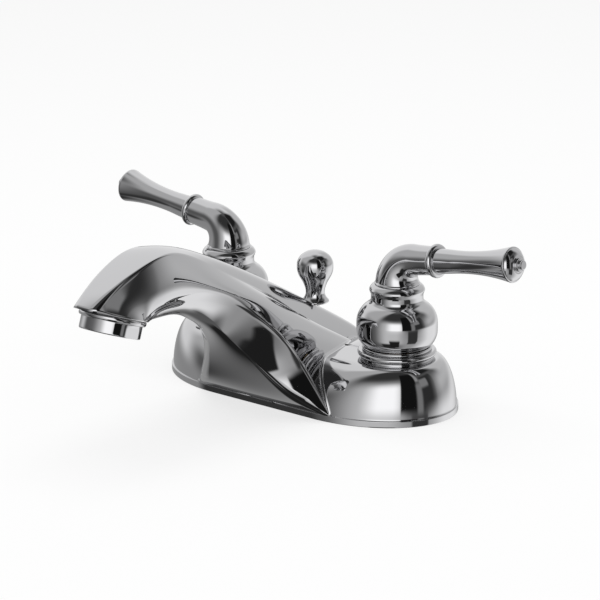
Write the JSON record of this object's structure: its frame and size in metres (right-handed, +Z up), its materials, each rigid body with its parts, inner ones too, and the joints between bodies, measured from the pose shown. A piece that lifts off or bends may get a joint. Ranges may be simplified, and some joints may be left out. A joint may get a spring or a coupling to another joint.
{
  "type": "centerset bathroom faucet",
  "caption": "Centerset basin faucet with an arched spout, two lever handles on bell-shaped hubs and a lift rod, in polished chrome.",
  "frame": {"origin": "centre of the underside that rests on the deck, midway between the handle axes", "axes": "+Z up from the deck, -Y towards the spout's outlet and the user, +X towards the cold handle"},
  "size_m": [0.2418, 0.1869, 0.1749],
  "materials": {
    "polished_chrome": "mirror polished",
    "brass": "machined",
    "copper": "drawn",
    "steel": "zinc plated",
    "ceramic": "lapped",
    "rubber": "moulded",
    "black_plastic": "moulded",
    "white_plastic": "moulded"
  },
  "bodies": {
    "root": {"faucet_body": "polished_chrome", "base_plate": "black_plastic", "mixing_tee": "brass", "spout_tube": "copper", "aerator_housing": "polished_chrome", "aerator_screen": "white_plastic", "aerator_washer": "rubber", "rod_bushing": "white_plastic", "hot_valve_body": "brass", "hot_supply_tube": "copper", "hot_seat_seal": "rubber", "hot_fixed_disc": "ceramic", "hot_cartridge_body": "brass", "hot_stem_seal": "rubber", "hot_bonnet_nut": "brass", "hot_trim_ring": "polished_chrome", "hot_mounting_washer": "steel", "hot_mounting_nut": "brass", "cold_valve_body": "brass", "cold_supply_tube": "copper", "cold_seat_seal": "rubber", "cold_fixed_disc": "ceramic", "cold_cartridge_body": "brass", "cold_stem_seal": "rubber", "cold_bonnet_nut": "brass", "cold_trim_ring": "polished_chrome", "cold_mounting_washer": "steel", "cold_mounting_nut": "brass"},
    "hot_handle": {"hot_moving_disc": "ceramic", "hot_cartridge_stem": "brass", "hot_handle_hub": "polished_chrome", "hot_set_screw": "steel", "hot_handle_arm": "polished_chrome", "hot_handle_collar": "polished_chrome", "hot_handle_grip": "polished_chrome", "hot_handle_button": "polished_chrome"},
    "cold_handle": {"cold_moving_disc": "ceramic", "cold_cartridge_stem": "brass", "cold_handle_hub": "polished_chrome", "cold_set_screw": "steel", "cold_handle_arm": "polished_chrome", "cold_handle_collar": "polished_chrome", "cold_handle_grip": "polished_chrome", "cold_handle_button": "polished_chrome"},
    "lift_rod": {"lift_rod": "polished_chrome", "lift_knob": "polished_chrome"}
  },
  "joints": [
    {"name": "hot_handle_turn", "type": "hinge", "parent": "root", "child": "hot_handle", "pos_m": [-0.0508, 0, 0], "axis": [0, 0, 1], "range_deg": [0, 90]},
    {"name": "cold_handle_turn", "type": "hinge", "parent": "root", "child": "cold_handle", "pos_m": [0.0508, 0, 0], "axis": [0, 0, -1], "range_deg": [0, 90]},
    {"name": "lift_rod_slide", "type": "slide", "parent": "root", "child": "lift_rod", "axis": [0, 0, 1], "range_m": [0, 0.022]}
  ]
}
